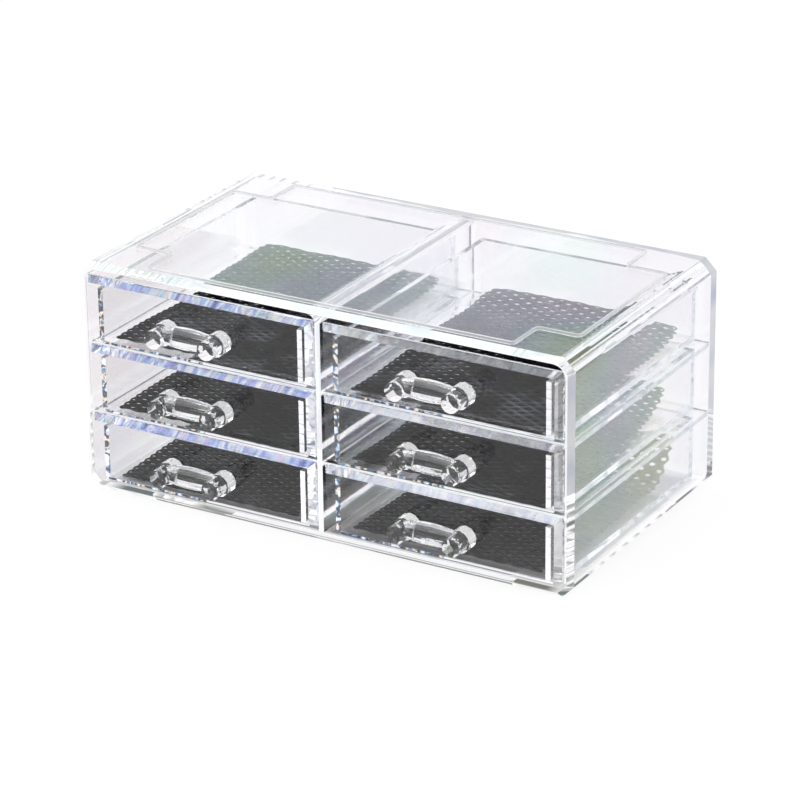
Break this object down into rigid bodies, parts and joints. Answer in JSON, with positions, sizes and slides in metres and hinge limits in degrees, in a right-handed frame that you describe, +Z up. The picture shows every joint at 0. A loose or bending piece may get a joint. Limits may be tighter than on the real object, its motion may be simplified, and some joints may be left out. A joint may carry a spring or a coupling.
{
  "type": "cosmetics organizer with drawers",
  "caption": "Clear acrylic box with two columns of sliding drawers, bevelled drawer fronts, faceted clear handles, black mesh liners and a stacking ridge on top.",
  "frame": {"origin": "on the table, under the middle of the whole object with its handles", "axes": "+X to the right along the width, -Y out of the front with the handles, +Z up"},
  "size_m": [0.238, 0.1468, 0.1068],
  "materials": {
    "clear_acrylic": "clear, polished",
    "black_net": "matt diamond mesh"
  },
  "bodies": {
    "case": {"case_shell": "clear_acrylic", "centre_divider": "clear_acrylic", "shelf_left_lower": "clear_acrylic", "shelf_left_upper": "clear_acrylic", "shelf_right_lower": "clear_acrylic", "shelf_right_upper": "clear_acrylic"},
    "drawer_left_bottom": {"tray_left_bottom": "clear_acrylic", "front_left_bottom": "clear_acrylic", "handle_left_bottom": "clear_acrylic", "liner_left_bottom": "black_net"},
    "drawer_left_middle": {"tray_left_middle": "clear_acrylic", "front_left_middle": "clear_acrylic", "handle_left_middle": "clear_acrylic", "liner_left_middle": "black_net"},
    "drawer_left_top": {"tray_left_top": "clear_acrylic", "front_left_top": "clear_acrylic", "handle_left_top": "clear_acrylic", "liner_left_top": "black_net"},
    "drawer_right_bottom": {"tray_right_bottom": "clear_acrylic", "front_right_bottom": "clear_acrylic", "handle_right_bottom": "clear_acrylic", "liner_right_bottom": "black_net"},
    "drawer_right_middle": {"tray_right_middle": "clear_acrylic", "front_right_middle": "clear_acrylic", "handle_right_middle": "clear_acrylic", "liner_right_middle": "black_net"},
    "drawer_right_top": {"tray_right_top": "clear_acrylic", "front_right_top": "clear_acrylic", "handle_right_top": "clear_acrylic", "liner_right_top": "black_net"}
  },
  "joints": [
    {"name": "slide_left_bottom", "type": "slide", "parent": "case", "child": "drawer_left_bottom", "axis": [0, -1, 0], "range_m": [0, 0.12]},
    {"name": "slide_left_middle", "type": "slide", "parent": "case", "child": "drawer_left_middle", "axis": [0, -1, 0], "range_m": [0, 0.12]},
    {"name": "slide_left_top", "type": "slide", "parent": "case", "child": "drawer_left_top", "axis": [0, -1, 0], "range_m": [0, 0.12]},
    {"name": "slide_right_bottom", "type": "slide", "parent": "case", "child": "drawer_right_bottom", "axis": [0, -1, 0], "range_m": [0, 0.12]},
    {"name": "slide_right_middle", "type": "slide", "parent": "case", "child": "drawer_right_middle", "axis": [0, -1, 0], "range_m": [0, 0.12]},
    {"name": "slide_right_top", "type": "slide", "parent": "case", "child": "drawer_right_top", "axis": [0, -1, 0], "range_m": [0, 0.12]}
  ]
}
